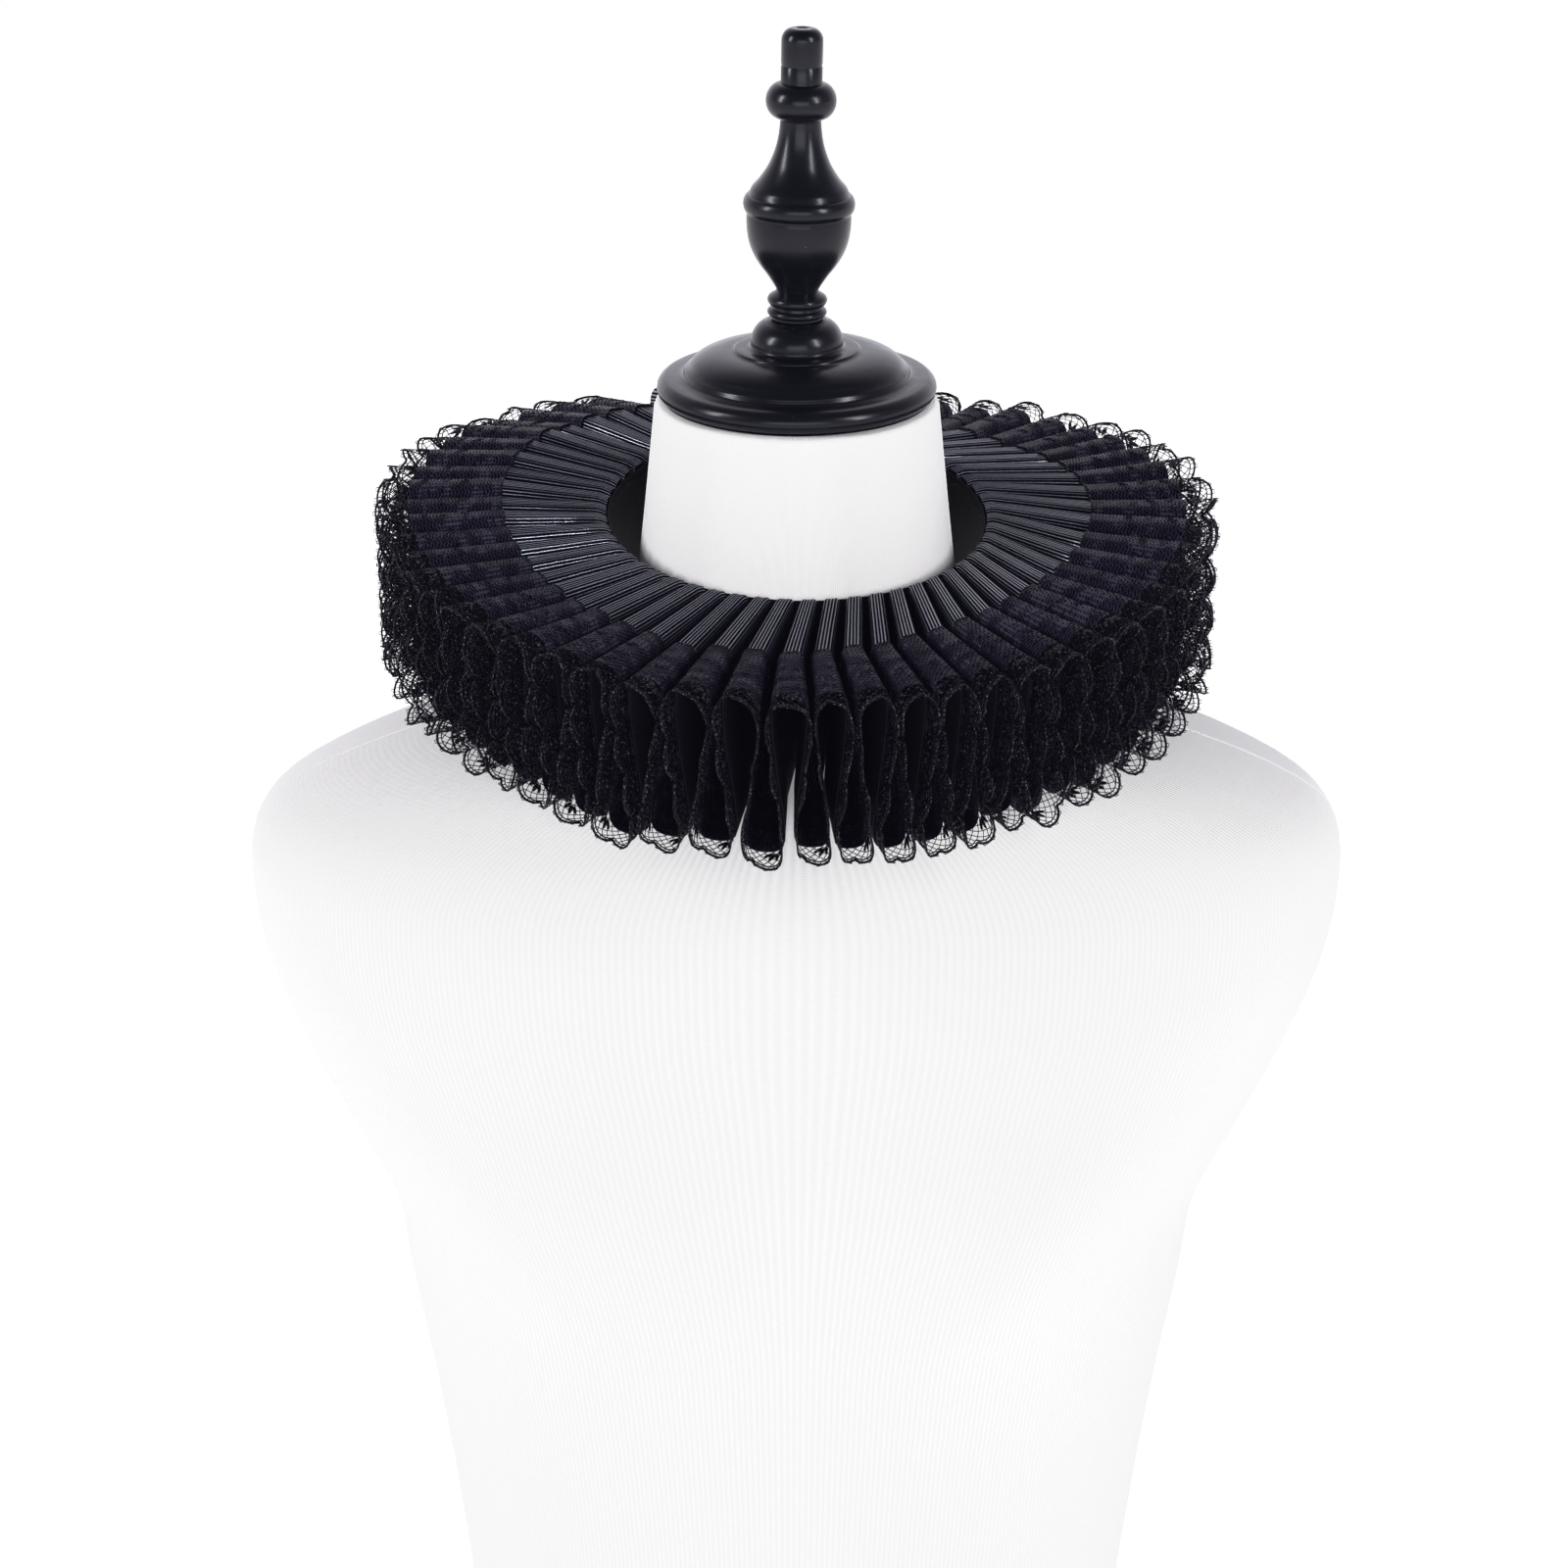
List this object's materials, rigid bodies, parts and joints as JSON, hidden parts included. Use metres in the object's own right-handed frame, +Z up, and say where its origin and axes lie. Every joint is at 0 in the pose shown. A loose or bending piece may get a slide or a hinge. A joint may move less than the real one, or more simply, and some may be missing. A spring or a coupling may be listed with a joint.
{
  "type": "ruff collar on a dress form",
  "caption": "Pleated ribbon and lace ruff collar, lying round the neck of a limbless dress form with a turned finial.",
  "frame": {"origin": "middle of the whole model's box, on the flat underside of the dress form", "axes": "+Z up along the neck, -Y towards the front, +X to the right seen from the front"},
  "size_m": [0.412, 0.3089, 0.837],
  "materials": {
    "form_cover": "fine white knit, matte",
    "turned_gloss": "black gloss lacquer",
    "satin_band": "black satin, soft sheen",
    "ribbon": "black grosgrain, ribbed, slight blue-grey sheen",
    "lace": "black machine lace, matte with fine sheen"
  },
  "bodies": {
    "root": {"dress_form": "form_cover", "neck_cap": "turned_gloss", "finial": "turned_gloss", "neck_band": "satin_band", "band_tab": "satin_band", "ribbon_ruffle": "ribbon", "lace_trim": "lace"}
  },
  "joints": []
}
